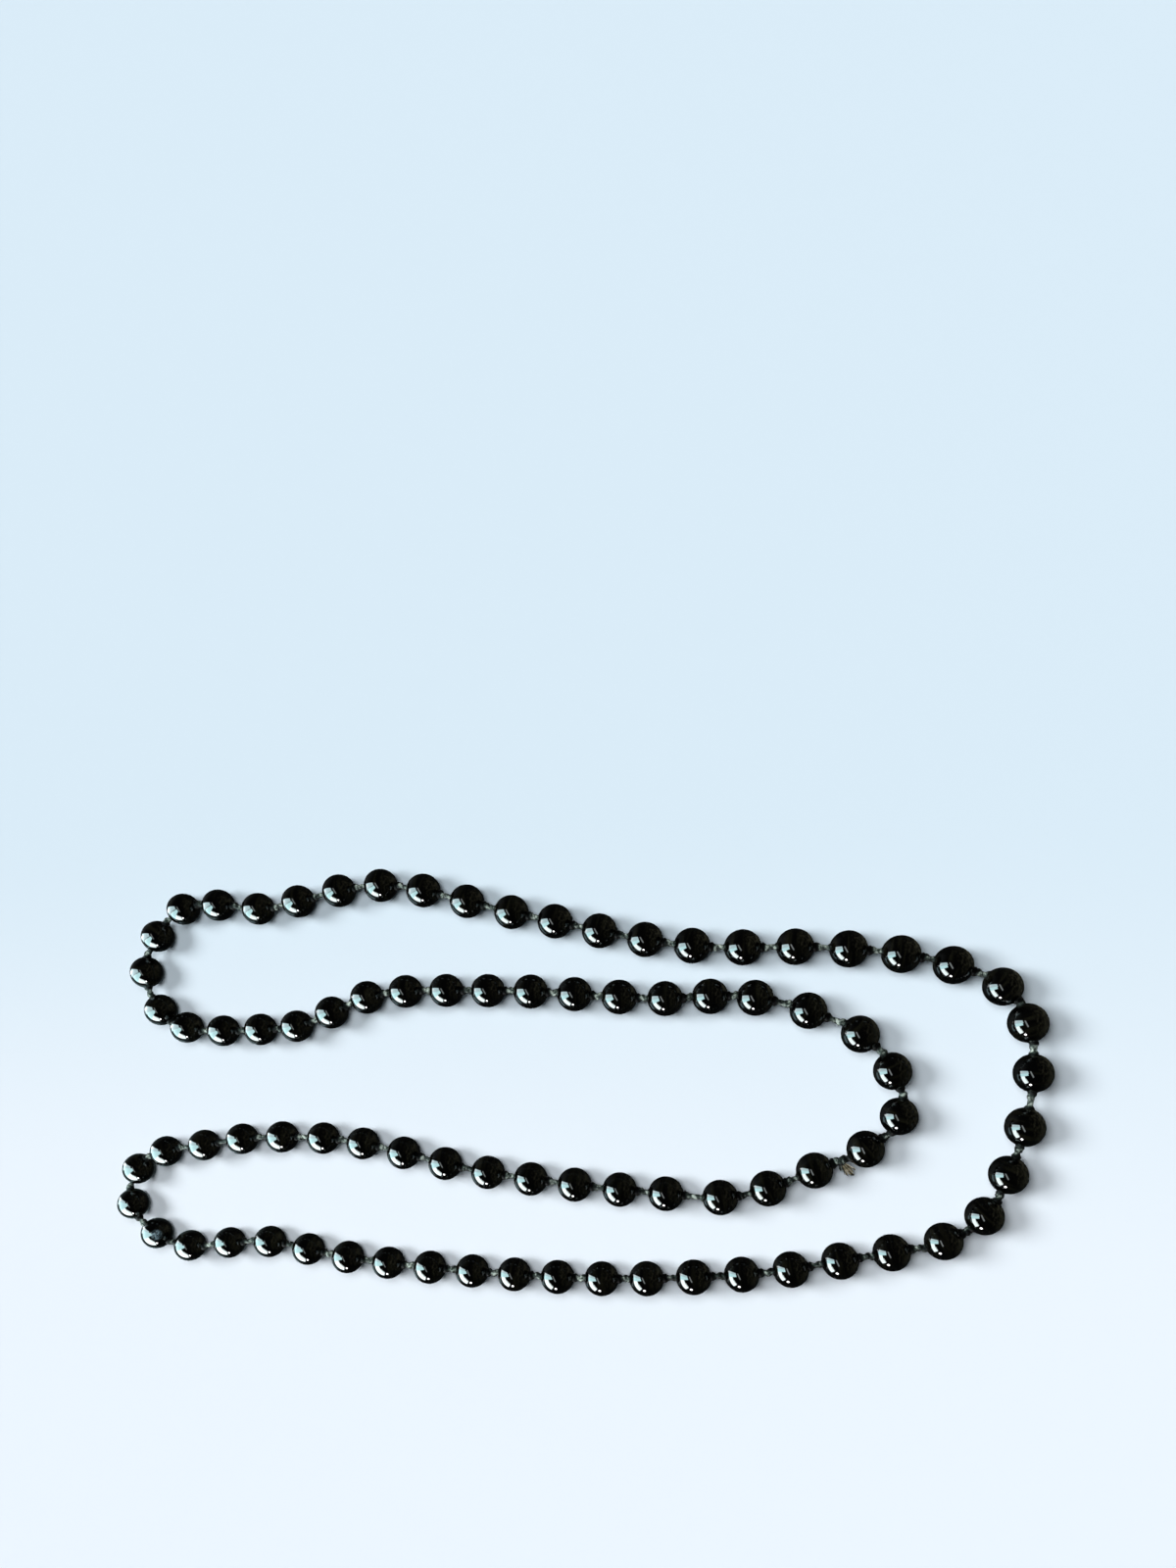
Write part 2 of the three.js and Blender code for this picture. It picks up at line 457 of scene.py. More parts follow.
# Outline of a bead from the bottom of one hole to the bottom of the other
def beadOutline(settings):
    hole = settings["holeDiameter"] / 2
    lip = settings["lip"]
    lipSteps = settings["lipSteps"]
    rings = settings["rings"]
    # the lip is an arc that touches the ball inside and the hole's wall
    lipRadius = hole + lip
    lipHeight = sqrt((beadRadius - lip) ** 2 - lipRadius ** 2)
    ballAngle = pi / 2 - (Vector((lipRadius, lipHeight)).angle(Vector((1, 0))))
    bottom = lipHeight - settings["holeDepth"]
    half = [(0, bottom), (hole, bottom), (hole, lipHeight)]
    for step in range(1, lipSteps):
        turn = pi - (pi / 2 + ballAngle) * step / lipSteps
        half.append((lipRadius + lip * cos(turn), lipHeight + lip * sin(turn)))
    outline = [(r, -z) for r, z in half]
    for step in range(rings + 1):
        angle = ballAngle + (pi - 2 * ballAngle) * step / rings
        outline.append((beadRadius * sin(angle), -beadRadius * cos(angle)))
    return outline + half[::-1]


def latheMesh(name, outline, sides):
    turns = [2 * pi * k / sides for k in range(sides)]
    points = []
    rings = []
    for r, z in outline:
        if r == 0:
            rings.append([len(points)] * sides)
            points.append((0, 0, z))
            continue
        rings.append(range(len(points), len(points) + sides))
        points.extend((r * cos(turn), r * sin(turn), z) for turn in turns)
    faces = []
    for lower, upper in zip(rings, rings[1:]):
        for k in range(sides):
            corners = [lower[k], lower[(k + 1) % sides], upper[(k + 1) % sides], upper[k]]
            faces.append(list(dict.fromkeys(corners)))
    mesh = bpy.data.meshes.new(name)
    mesh.from_pydata(points, [], faces)
    mesh.validate()
    return mesh


def beadTree():
    tree, given, result = newTree("beadsOnString", {
        "Object": ["bead"],
        "Float": ["size", "sizeSpread", "beadRadius"],
        "Vector": ["leastShape", "mostShape"],
        "Int": ["seed"],
        "Material": ["material"],
    })
    add = partial(addNode, tree)
    shape = add("GeometryNodeObjectInfo", {"Object": given["bead"]})
    inside = add("GeometryNodeInputPosition")
    grained = add("GeometryNodeStoreNamedAttribute", {
        "Geometry": shape.outputs["Geometry"], "Name": "beadGrain", "Value": inside,
    }, data_type="FLOAT_VECTOR")

    smallest, largest = (
        add("ShaderNodeMath", {0: given["size"], 1: given["sizeSpread"]}, operation=operation)
        for operation in ("SUBTRACT", "ADD")
    )
    size = add("FunctionNodeRandomValue", {
        "Min": smallest, "Max": largest, "Seed": given["seed"],
    })
    sized = add("GeometryNodeStoreNamedAttribute", {
        "Geometry": given["Geometry"], "Name": "beadSize", "Value": size,
    })
    beadSize = add("GeometryNodeInputNamedAttribute", {"Name": "beadSize"})
    # a bigger bead's middle lies higher, so that it still rests on the table
    extra = add("ShaderNodeMath", {0: beadSize, 1: 1.0}, operation="SUBTRACT")
    rise = add("ShaderNodeMath", {0: extra, 1: given["beadRadius"]}, operation="MULTIPLY")
    offset = add("ShaderNodeCombineXYZ", {"Z": rise})
    rested = add("GeometryNodeSetPosition", {"Geometry": sized, "Offset": offset})
    shapes = add("FunctionNodeRandomValue", {
        "Min": given["leastShape"], "Max": given["mostShape"], "Seed": given["seed"],
    }, data_type="FLOAT_VECTOR")
    scale = add("ShaderNodeVectorMath", {0: shapes, "Scale": beadSize}, operation="SCALE")
    beads = add("GeometryNodeInstanceOnPoints", {
        "Points": rested,
        "Instance": grained,
        "Rotation": turnAlong(tree, "holeDirection", given),
        "Scale": scale,
    })

    # each bead is cut from another place of the stone
    cut = add("FunctionNodeRandomValue", {
        "Min": (0, 0, 0), "Max": (1, 1, 1), "Seed": given["seed"],
    }, data_type="FLOAT_VECTOR")
    placed = add("GeometryNodeStoreNamedAttribute", {
        "Geometry": beads, "Name": "stonePlace", "Value": cut,
    }, data_type="FLOAT_VECTOR", domain="INSTANCE")
    real = add("GeometryNodeRealizeInstances", {"Geometry": placed})
    grain, stonePlace = (
        add("GeometryNodeInputNamedAttribute", {"Name": mark}, data_type="FLOAT_VECTOR")
        for mark in ("beadGrain", "stonePlace")
    )
    moved = add("ShaderNodeVectorMath", {0: grain, 1: stonePlace}, operation="ADD")
    regrained = add("GeometryNodeStoreNamedAttribute", {
        "Geometry": real, "Name": "beadGrain", "Value": moved,
    }, data_type="FLOAT_VECTOR")
    dressMesh(tree, regrained, given, result)
    return tree


# A mesh of loose points that carries one vector for each point under each mark's name
def pointsObject(name, points, **marks):
    mesh = bpy.data.meshes.new(name)
    mesh.from_pydata(points, [], [])
    for label, vectors in marks.items():
        attribute = mesh.attributes.new(label, "FLOAT_VECTOR", "POINT")
        for i, vector in enumerate(vectors):
            attribute.data[i].vector = vector
    return addObject(name, mesh)


def makeBeads(settings):
    ball = addObject("bead", latheMesh("bead", beadOutline(settings), settings["sides"]))
    tree = beadTree()
    pieces = []
    for name, beads in (("beadsUpper", upperBeads), ("beadsLower", lowerBeads)):
        places = [placeOf(bead) for bead in beads]
        directions = [holeDirection(bead) for bead in beads]
        source = pointsObject(name + "Places", places, holeDirection=directions)
        pieces.append(growMesh(name, source, tree, {
            **settings,
            "bead": ball,
            "beadRadius": beadRadius,
            "seed": settings["seed"] + len(pieces),
            "material": onyx,
        }))
    bpy.data.objects.remove(ball)
    return pieces


beadsUpper, beadsLower = makeBeads(beadSettings)
print("beads set on the string")


# Silk: a twisted two-ply thread from hole to hole, and an overhand knot drawn up against the
# lower-numbered bead of each gap

threadSettings = {
    "threadWidth": 1.25 * mm,
    "intoHole": 0.6 * mm,
    "twistPitch": 2.8 * mm,
    "step": 0.13 * mm,
    "profileSides": 12,
    "waist": 0.82,  # thickness between the two plies, as a share of the width
    "waistReach": 0.75,  # share of the half width over which the waist fills out
    "flare": 1.8,  # width where the thread enters a bead, as a share of its own
    "flareReach": 0.95 * mm,
    "leastTone": -0.12,
    "mostTone": 0.12,
    "dirtyGaps": [*range(42, 52), *range(79, 84)],  # the silk is nearly black here
    "dirtyTone": -0.22,
    "knotPlace": 0.85 * mm,  # from the hole's mouth to the knot's middle
    "knotAcross": 0.17 * mm,
    "knotAlong": 0.048 * mm,
    "knotWidth": 1.05,  # the silk is a little thicker in the knots
    "leastKnot": 0.88,
    "mostKnot": 1.08,
    "knotSizes": {47: 0.6, 50: 0.6, 80: 1.15},  # gaps whose knot isn't like the others
    "tieWidth": 1.1,  # the closing knot's thread and knots, as shares of the others
    "tieKnot": 1.15,
    "tieApart": 0.7 * mm,
    "seed": 5,
}


# One overhand knot, drawn as the textbook curve of such a knot
def knotCurve(settings):
    steps = 60
    reach = 2.12  # the curve's parameter runs this far to either side
    fade = 0.32  # over this last part of it an end runs on to the axis
    points = []
    for step in range(steps + 1):
        t = reach * (2 * step / steps - 1)
        ease = min(max((reach - abs(t)) / fade, 0), 1)
        ease = ease * ease * (3 - 2 * ease)
        x = (t ** 3 - 3 * t) * settings["knotAcross"] * ease
        y = (t ** 4 - 4 * t ** 2 + 2) * settings["knotAcross"] * ease
        points.append((x, y, (t ** 5 - 10 * t) * settings["knotAlong"]))
    curve = bpy.data.curves.new("knot", "CURVE")
    curve.dimensions = "3D"
    spline = curve.splines.new("POLY")
    spline.points.add(len(points) - 1)
    for point, place in zip(spline.points, points):
        point.co = (*place, 1)
    return addObject("knot", curve)


# How far a place lies from the nearest bead's surface. To the right of a bead it counts as a
# little nearer, so that the painted shade at the silk's neck reaches further there, standing in
# for the bead's shadow; the thread's flare follows the same distance.
def clearOfBeads(tree, given):
    add = partial(addNode, tree)
    shadowSideShare = 0.09  # of the way to the right of the bead's middle
    places = add("GeometryNodeObjectInfo", {"Object": given["beads"]})
    nearest = add("GeometryNodeProximity", {
        0: places.outputs["Geometry"],
    }, target_element="POINTS")
    beyond = add("ShaderNodeMath", {
        0: nearest.outputs["Distance"], 1: given["beadRadius"],
    }, operation="SUBTRACT")
    where = add("GeometryNodeInputPosition")
    away = add("ShaderNodeVectorMath", {
        0: where, 1: nearest.outputs["Position"],
    }, operation="SUBTRACT")
    parts = add("ShaderNodeSeparateXYZ", {"Vector": away})
    shadowSide = add("ShaderNodeMath", {0: parts.outputs["X"], 1: -shadowSideShare}, operation="MULTIPLY")
    return add("ShaderNodeMath", {0: beyond, 1: shadowSide}, operation="ADD")


# Sweeps a profile along curves and stores what the silk's material reads: the way along the
# curve, its tone, the place round it, the way to the nearest bead, and how far it faces up
def sweepSilk(tree, given, result, curves, tone, profile, around, width=1.0):
    add = partial(addNode, tree)
    length = add("GeometryNodeSplineParameter").outputs["Length"]
    for mark, value, domain in (("alongThread", length, "POINT"), ("threadTone", tone, "CURVE")):
        curves = add("GeometryNodeStoreNamedAttribute", {
            "Geometry": curves, "Name": mark, "Value": value,
        }, domain=domain)
    profile = add("GeometryNodeStoreNamedAttribute", {
        "Geometry": profile, "Name": "aroundThread", "Value": around,
    }, data_type="FLOAT_VECTOR")
    mesh = add("GeometryNodeCurveToMesh", {
        "Curve": curves, "Profile Curve": profile, "Scale": width, "Fill Caps": True,
    })
    normal = add("GeometryNodeInputNormal")
    parts = add("ShaderNodeSeparateXYZ", {"Vector": normal})
    for mark, value in (("fromBead", clearOfBeads(tree, given)), ("topSide", parts.outputs["Z"])):
        mesh = add("GeometryNodeStoreNamedAttribute", {
            "Geometry": mesh, "Name": mark, "Value": value,
        })
    real = add("GeometryNodeRealizeInstances", {"Geometry": mesh})
    dressMesh(tree, real, given, result)


def threadTree():
    tree, given, result = newTree("knottedThread", {
        "Object": ["knot", "beads"],
        "Float": [
            "beadRadius", "threadWidth", "twistPitch", "step", "waist", "waistReach", "flare",
            "flareReach", "leastTone", "mostTone", "knotWidth", "leastKnot", "mostKnot",
        ],
        "Int": ["profileSides", "seed"],
        "Material": ["material"],
    })
    add = partial(addNode, tree)
    shift = add("GeometryNodeInputNamedAttribute", {"Name": "knotShift"}, data_type="FLOAT_VECTOR")
    ownSize, gapTone = (
        add("GeometryNodeInputNamedAttribute", {"Name": mark})
        for mark in ("knotSize", "gapTone")
    )
    # knots, one for each edge, moved from its middle to where the knot is drawn up
    knot = add("GeometryNodeObjectInfo", {"Object": given["knot"]})
    spots = add("GeometryNodeMeshToPoints", {"Mesh": given["Geometry"]}, mode="EDGES")
    seated = add("GeometryNodeSetPosition", {"Geometry": spots, "Offset": shift})
    anySize, anyTone = (
        add("FunctionNodeRandomValue", {
            "Min": given["least" + what], "Max": given["most" + what], "Seed": given["seed"],
        })
        for what in ("Knot", "Tone")
    )
    size = add("ShaderNodeMath", {0: anySize, 1: ownSize}, operation="MULTIPLY")
    knots = add("GeometryNodeInstanceOnPoints", {
        "Points": seated,
        "Instance": knot.outputs["Geometry"],
        "Rotation": turnAlong(tree, "gapDirection", given),
        "Scale": size,
    })
    realKnots = add("GeometryNodeRealizeInstances", {"Geometry": knots})
    thicker = add("GeometryNodeSetCurveRadius", {
        "Curve": realKnots, "Radius": given["knotWidth"],
    })

    # thread through every gap, spread where it is drawn into a bead
    runs = add("GeometryNodeMeshToCurve", {"Mesh": given["Geometry"]})
    divided = add("GeometryNodeResampleCurve", {
        "Curve": runs, "Length": given["step"],
    }, mode="LENGTH")
    width = add("ShaderNodeMapRange", {
        "Value": clearOfBeads(tree, given),
        "From Max": given["flareReach"],
        "To Min": given["flare"],
    }, interpolation_type="SMOOTHSTEP")
    flared = add("GeometryNodeSetCurveRadius", {"Curve": divided, "Radius": width})

    # both together, twisted
    joined = add("GeometryNodeJoinGeometry")
    for part in (flared, thicker):
        tree.links.new(part.outputs["Curve"], joined.inputs["Geometry"])
    even = add("GeometryNodeResampleCurve", {
        "Curve": joined, "Length": given["step"],
    }, mode="LENGTH")
    length = add("GeometryNodeSplineParameter").outputs["Length"]
    turns = add("ShaderNodeMath", {0: length, 1: given["twistPitch"]}, operation="DIVIDE")
    angle = add("ShaderNodeMath", {0: turns, 1: 2 * pi}, operation="MULTIPLY")
    twisted = add("GeometryNodeSetCurveTilt", {"Curve": even, "Tilt": angle})
    tone = add("ShaderNodeMath", {0: anyTone, 1: gapTone}, operation="ADD")

    # two plies side by side make a waisted profile
    half = add("ShaderNodeMath", {0: given["threadWidth"], 1: 0.5}, operation="MULTIPLY")
    ring = add("GeometryNodeCurvePrimitiveCircle", {
        "Resolution": given["profileSides"], "Radius": half,
    })
    where = add("GeometryNodeInputPosition")
    parts = add("ShaderNodeSeparateXYZ", {"Vector": where})
    sideways = add("ShaderNodeMath", {0: parts.outputs["X"], 1: half}, operation="DIVIDE")
    fullness = add("ShaderNodeMath", {0: sideways}, operation="ABSOLUTE")
    waist = add("ShaderNodeMapRange", {
        "Value": fullness, "From Max": given["waistReach"], "To Min": given["waist"],
    })
    shaped = add("ShaderNodeVectorMath", {0: where, "Scale": waist}, operation="SCALE")
    waisted = add("GeometryNodeSetPosition", {"Geometry": ring, "Position": shaped})
    thickness = add("GeometryNodeInputRadius")
    sweepSilk(tree, given, result, twisted, tone, waisted, where, thickness)
    return tree


# Frayed ends: each line becomes a brush of loose fibres that spread and are cut unevenly
def frayTree():
    tree, given, result = newTree("frayedEnds", {
        "Object": ["beads"],
        "Float": [
            "beadRadius", "fibreWidth", "root", "spread", "opening", "curl", "curlScale",
            "leastCut", "lockDepth", "leastTone", "mostTone",
        ],
        "Vector": ["locks"],
        "Int": ["fibres", "fibrePoints", "fibreSides", "seed"],
        "Material": ["material"],
    })
    add = partial(addNode, tree)
    lines = add("GeometryNodeMeshToCurve", {"Mesh": given["Geometry"]})
    even = add("GeometryNodeResampleCurve", {"Curve": lines, "Count": given["fibrePoints"]})
    copies = add("GeometryNodeDuplicateElements", {
        "Geometry": even, "Amount": given["fibres"],
    }, domain="SPLINE")
    # each fibre leaves to its own side, little up or down
    number = add("GeometryNodeInputIndex")
    own = add("GeometryNodeFieldOnDomain", {0: number}, data_type="INT", domain="CURVE")
    side = add("FunctionNodeRandomValue", {
        "Min": (-1, -1, -0.45), "Max": (1, 1, 0.45), "ID": own, "Seed": given["seed"],
    }, data_type="FLOAT_VECTOR")
    factor = add("GeometryNodeSplineParameter").outputs["Factor"]
    opened = add("ShaderNodeMath", {0: factor, 1: given["opening"]}, operation="POWER")
    width = add("ShaderNodeMapRange", {
        "Value": opened, "To Min": given["root"], "To Max": given["spread"],
    })
    aside = add("ShaderNodeVectorMath", {0: side, "Scale": width}, operation="SCALE")
    # it curls in its own part of the noise
    where = add("GeometryNodeInputPosition")
    far = add("ShaderNodeVectorMath", {0: side, "Scale": 0.05}, operation="SCALE")
    sample = add("ShaderNodeVectorMath", {0: where, 1: far}, operation="ADD")
    wave = add("ShaderNodeTexNoise", {"Vector": sample, "Scale": given["curlScale"]})
    centred = add("ShaderNodeVectorMath", {
        0: wave.outputs["Color"], 1: (0.5, 0.5, 0.5),
    }, operation="SUBTRACT")
    curlHere = add("ShaderNodeMath", {0: opened, 1: given["curl"]}, operation="MULTIPLY")
    curled = add("ShaderNodeVectorMath", {0: centred, "Scale": curlHere}, operation="SCALE")
    offset = add("ShaderNodeVectorMath", {0: aside, 1: curled}, operation="ADD")
    loose = add("GeometryNodeSetPosition", {"Geometry": copies, "Offset": offset})
    cut = add("FunctionNodeRandomValue", {
        "Min": given["leastCut"], "Max": 1.0, "Seed": given["seed"],
    })
    trimmed = add("GeometryNodeTrimCurve", {"Curve": loose, "End": cut}, mode="FACTOR")

    # painted light and shade: the fibres are paled in a few locks and darkened in the gaps between them,
    # as if they clung together
    anyTone = add("FunctionNodeRandomValue", {
        "Min": given["leastTone"], "Max": given["mostTone"], "Seed": given["seed"],
    })
    sideways = add("ShaderNodeVectorMath", {0: side, 1: given["locks"]}, operation="DOT_PRODUCT")
    locks = add("ShaderNodeMath", {0: sideways}, operation="SINE")
    deep = add("ShaderNodeMath", {0: locks, 1: given["lockDepth"]}, operation="MULTIPLY")
    tone = add("ShaderNodeMath", {0: anyTone, 1: deep}, operation="ADD")
    half = add("ShaderNodeMath", {0: given["fibreWidth"], 1: 0.5}, operation="MULTIPLY")
    ring = add("GeometryNodeCurvePrimitiveCircle", {
        "Resolution": given["fibreSides"], "Radius": half,
    })
    # a fibre counts as the flank of a ply: its shade varies only along it
    flank = (0.5 * mm, 0, 0)
    sweepSilk(tree, given, result, trimmed, tone, ring, flank)
    return tree


# A mesh of loose edges, each with its direction, the way from its middle to its knot and the
# knot's size. Their ends carry the silk's tone.
def gapsObject(name, gaps):
    mesh = bpy.data.meshes.new(name)
    ends = [end for start, finish, *knotMarks in gaps for end in (start, finish)]
    mesh.from_pydata(ends, [(2 * i, 2 * i + 1) for i in range(len(gaps))], [])
    # all are added before any is filled, because adding one moves the others
    marks = mesh.attributes
    marks.new("gapDirection", "FLOAT_VECTOR", "EDGE")
    marks.new("knotShift", "FLOAT_VECTOR", "EDGE")
    marks.new("knotSize", "FLOAT", "EDGE")
    marks.new("gapTone", "FLOAT", "POINT")
    for i, (start, finish, knot, size, tone) in enumerate(gaps):
        marks["gapDirection"].data[i].vector = (finish - start).normalized()
        marks["knotShift"].data[i].vector = knot - (start + finish) / 2
        marks["knotSize"].data[i].value = size
        for end in (2 * i, 2 * i + 1):
            marks["gapTone"].data[end].value = tone
    return addObject(name, mesh)


# Start and end of the thread from a bead to the next, inside their holes, its knot's place and
# size, and its tone
def gapAfter(bead, settings):
    mouth = mouthOf(bead, 1)
    nextMouth = mouthOf(bead + 1, -1)
    start = mouth - holeDirection(bead) * settings["intoHole"]
    finish = nextMouth + holeDirection(bead + 1) * settings["intoHole"]
    shown = (nextMouth - mouth).length
    knot = mouth + (nextMouth - mouth).normalized() * min(settings["knotPlace"], shown / 2)
    tone = settings["dirtyTone"] if bead in settings["dirtyGaps"] else 0
    return start, finish, knot, settings["knotSizes"].get(bead, 1), tone


# The closing knot: two knots side by side, each on its half of the gap
def tieGaps(settings):
    start, finish, *knotMarks, tone = gapAfter(lowerBeads[-1], settings)
    middle = (start + finish) / 2
    aside = (finish - start).normalized() * settings["tieApart"] / 2
    size = settings["tieKnot"]
    return [(start, middle, middle - aside, size, tone), (middle, finish, middle + aside, size, tone)]


def makeSilk(settings, beads):
    knot = knotCurve(settings)
    tree = threadTree()
    pieces = []
    for name, gaps, width in (
        ("silkUpper", [gapAfter(bead, settings) for bead in upperBeads], 1),
        ("silkLower", [gapAfter(bead, settings) for bead in lowerBeads[:-1]], 1),
        ("tieKnot", tieGaps(settings), settings["tieWidth"]),
    ):
        pieces.append(growMesh(name, gapsObject(name + "Gaps", gaps), tree, {
            **settings,
            "knot": knot,
            "beads": beads,
            "beadRadius": beadRadius,
            "threadWidth": settings["threadWidth"] * width,
            "seed": settings["seed"] + len(pieces),
            "material": silk,
        }))
    bpy.data.objects.remove(knot)
    return pieces


# Two cut ends of the closing knot: a wide pale brush and a slimmer darker stub

frayedSettings = {
    "ends": {
        "brush": {
            "length": 3.9 * mm,
            "turn": -70,  # degrees from the string's direction, seen from above
            "drop": 25,  # degrees below level
            "fibres": 70,
            "fibreWidth": 0.17 * mm,
            "root": 0.3 * mm,  # half width of the bundle at the knot
            "spread": 1.15 * mm,  # and at its tip
        },
        "stub": {
            "length": 3.1 * mm,
            "turn": -104,
            "drop": 35,
            "fibres": 24,
            "fibreWidth": 0.16 * mm,
            "root": 0.25 * mm,
            "spread": 0.4 * mm,
        },
    },
    "fibrePoints": 14,
    "fibreSides": 6,
    "opening": 1.4,  # 1 spreads the bundle evenly, more keeps it together for longer
    "curl": 0.5 * mm,
    "curlScale": 1 / (1.5 * mm),
    "leastCut": 0.72,  # length of the shortest fibre, as a share of the longest
    "locks": (4.4, 5.5, 0.0),  # across the brush; longer makes more locks
    "lockDepth": 0.4,  # painted light and shade: how much paler a lock is, and how much darker the gap beside it
    "leastTone": -0.15,
    "mostTone": 0.25,
    "seed": 3,
}


def makeFrayedEnds(settings, beads):
    tree = frayTree()
    before = mouthOf(lowerBeads[-1], 1)
    after = mouthOf(upperBeads[0], -1)
    middle = (before + after) / 2
    string = (after - before).normalized()
    pieces = []
    for name, material in (("brush", cutSilk), ("stub", silk)):
        end = settings["ends"][name]
        drop = radians(end["drop"])
        away = Matrix.Rotation(radians(end["turn"]), 3, "Z") @ string
        away = away * cos(drop) - Vector((0, 0, sin(drop)))
        mesh = bpy.data.meshes.new(name + "Line")
        mesh.from_pydata([middle, middle + away * end["length"]], [(0, 1)], [])
        pieces.append(growMesh(name, addObject(name + "Line", mesh), tree, {
            **settings,
            **end,
            "beads": beads,
            "beadRadius": 0.0,  # so that no fibre gets the painted shade of a bead's neck
            "seed": settings["seed"] + len(pieces),
            "material": material,
        }))
    return pieces


beadMarks = pointsObject("beadPlaces", beadPlaces)
silkUpper, silkLower, tieKnot = makeSilk(threadSettings, beadMarks)
brush, stub = makeFrayedEnds(frayedSettings, beadMarks)
bpy.data.objects.remove(beadMarks)
print("silk threaded, knotted and tied off")

for piece, node, slot in (
    (beadsUpper, "bead_string_upper", "bead"),
    (silkUpper, "bead_string_upper", "silk"),
    (beadsLower, "bead_string_lower", "bead"),
    (silkLower, "bead_string_lower", "silk"),
    (tieKnot, "closing_knot", "silk"),
    (brush, "closing_knot", "silk"),
    (stub, "closing_knot", "silk"),
):
    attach(piece, "root")
    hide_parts(node)


# Floor, light, and the dark room and window that the beads mirror

studioSettings = {
    "floorSize": 12,
    "floorFar": "daecf8",
    "floorNear": "ecf6ff",
    "farEdge": 0.068,  # the floor is one shade beyond this Y, and pales towards the near edge
    "nearEdge": -0.045,
    "paint": 0.8,  # the floor's albedo is its shade times this, and the light makes up for it
    "lamps": {
        # azimuth and height of a lamp, its distance, its width as seen from the table's middle,
        # share of the light
        "sideLight": (166, 43, 1.0, 27, 0.5),
        "topLight": (79, 73, 0.3, 30, 0.49),
    },
    "brightness": 1.032,
    "ambientShare": 0.01,
}

# What the beads mirror of the unlit room, in linear light
roomSettings = {
    "high": (0.008, 0.009, 0.009, 1),
    "highFrom": 0.75,  # Z of the unit direction from which on it is all this dark
    "horizon": [
        # from left to right: grey, dark, brown-green
        (0.0, (0.13, 0.145, 0.15, 1)),
        (0.25, (0.014, 0.016, 0.016, 1)),
        (0.85, (0.014, 0.016, 0.016, 1)),
        (1.0, (0.05, 0.052, 0.037, 1)),
    ],
    # dim things, blurred to patches: they show on the right and the far side of a bead
    "patches": (0.255, 0.247, 0.162, 1),
    "patchScale": 5.5,
    "patchEdge": (0.46, 0.66),
    "patchDirection": (0.96, 0.28, 0.0),
    "patchSpread": (0.25, 0.8),
}

# Each pane has its distance and stands square to the direction of the window. Its other
# lengths are shares of its distance: middle across, middle up, width, height, edge softness.
# Then come its colour and strength.
windowSettings = {
    "azimuth": -150,
    "elevation": 24,
    "panes": {
        "tallPaneLeft": (0.42, -0.65, 0.22, 0.62, 1.56, 0.1, "c9e4ea", 14),
        "tallPaneRight": (0.22, -0.27, 0.37, 0.46, 1.36, 0.07, "c6eff3", 17.5),
        "tallPaneFoot": (0.32, -0.72, -0.4, 0.28, 0.86, 0.1, "eef6f8", 13),
        "lowPane": (0.26, 0.2, 0.03, 1.36, 0.62, 0.07, "ebf9f9", 22),
        "lowPaneTop": (0.26, 0.52, 0.34, 0.62, 0.2, 0.09, "ecf8f6", 14),
        "sideLamp": (0.3, 1.34, 0.22, 0.52, 0.42, 0.14, "ffffff", 75),
        "wallAbove": (0.32, -0.2, 1.66, 1.7, 0.66, 0.26, "bcc6c6", 7.5),
        "sill": (0.3, -0.05, -0.95, 1.0, 0.8, 0.2, "7d959a", 4),
    },
    # a level cloth below the window, which shows low on the beads nearest to it: its middle,
    # width, height, edge softness, colour and strength
    "cloth": ((-0.24, -0.12, -0.04), 0.3, 0.36, 0.12, "9fbabc", 0.8),
}


# Unit vector towards an azimuth and a height above the table, in degrees
def directionOf(azimuth, elevation):
    azimuth = radians(azimuth)
    elevation = radians(elevation)
    return Vector((cos(elevation) * cos(azimuth), cos(elevation) * sin(azimuth), sin(elevation)))


# Brightness of a white level surface, which makes up for the floor's darker paint
def lightLevel(settings):
    return settings["brightness"] / settings["paint"]


# A flat rectangle round the origin that faces up
def flatPanel(name, width, height, material):
    x, y = width / 2, height / 2
    mesh = bpy.data.meshes.new(name)
    mesh.from_pydata([(-x, -y, 0), (x, -y, 0), (x, y, 0), (-x, y, 0)], [], [(0, 1, 2, 3)])
    mesh.materials.append(material)
    return addObject(name, mesh)


def makeFloor(settings):
    material = newMaterial("paintedStudioFloor")
    tree = material.node_tree
    add = partial(addNode, tree)
    place = add("ShaderNodeTexCoord").outputs["Object"]
    parts = add("ShaderNodeSeparateXYZ", {"Vector": place})
    nearness = add("ShaderNodeMapRange", {
        "Value": parts.outputs["Y"],
        "From Min": settings["farEdge"],
        "From Max": settings["nearEdge"],
    }, interpolation_type="SMOOTHSTEP")
    shade = add("ShaderNodeMix", {
        "Factor": nearness,
        "A": toLinear(settings["floorFar"]),
        "B": toLinear(settings["floorNear"]),
    }, data_type="RGBA")
    # the lamps stand near, so the paint is a little lighter where they are further off
    light = settings["ambientShare"]
    for azimuth, elevation, distance, width, share in settings["lamps"].values():
        away = add("ShaderNodeVectorMath", {
            0: place, 1: directionOf(azimuth, elevation) * distance,
        }, operation="DISTANCE")
        part = add("ShaderNodeMath", {0: share * distance, 1: away}, operation="DIVIDE")
        light = add("ShaderNodeMath", {0: light, 1: part}, operation="ADD")
    evened = add("ShaderNodeMath", {0: settings["paint"], 1: light}, operation="DIVIDE")
    painted = add("ShaderNodeVectorMath", {0: shade, "Scale": evened}, operation="SCALE")
    shader = add("ShaderNodeBsdfDiffuse", {"Color": painted})
    add("ShaderNodeOutputMaterial", {"Surface": shader})
    floor = flatPanel("floor", settings["floorSize"], settings["floorSize"], material)
    floor.visible_glossy = False  # the room round the real beads is dark: no pale floor shows in them


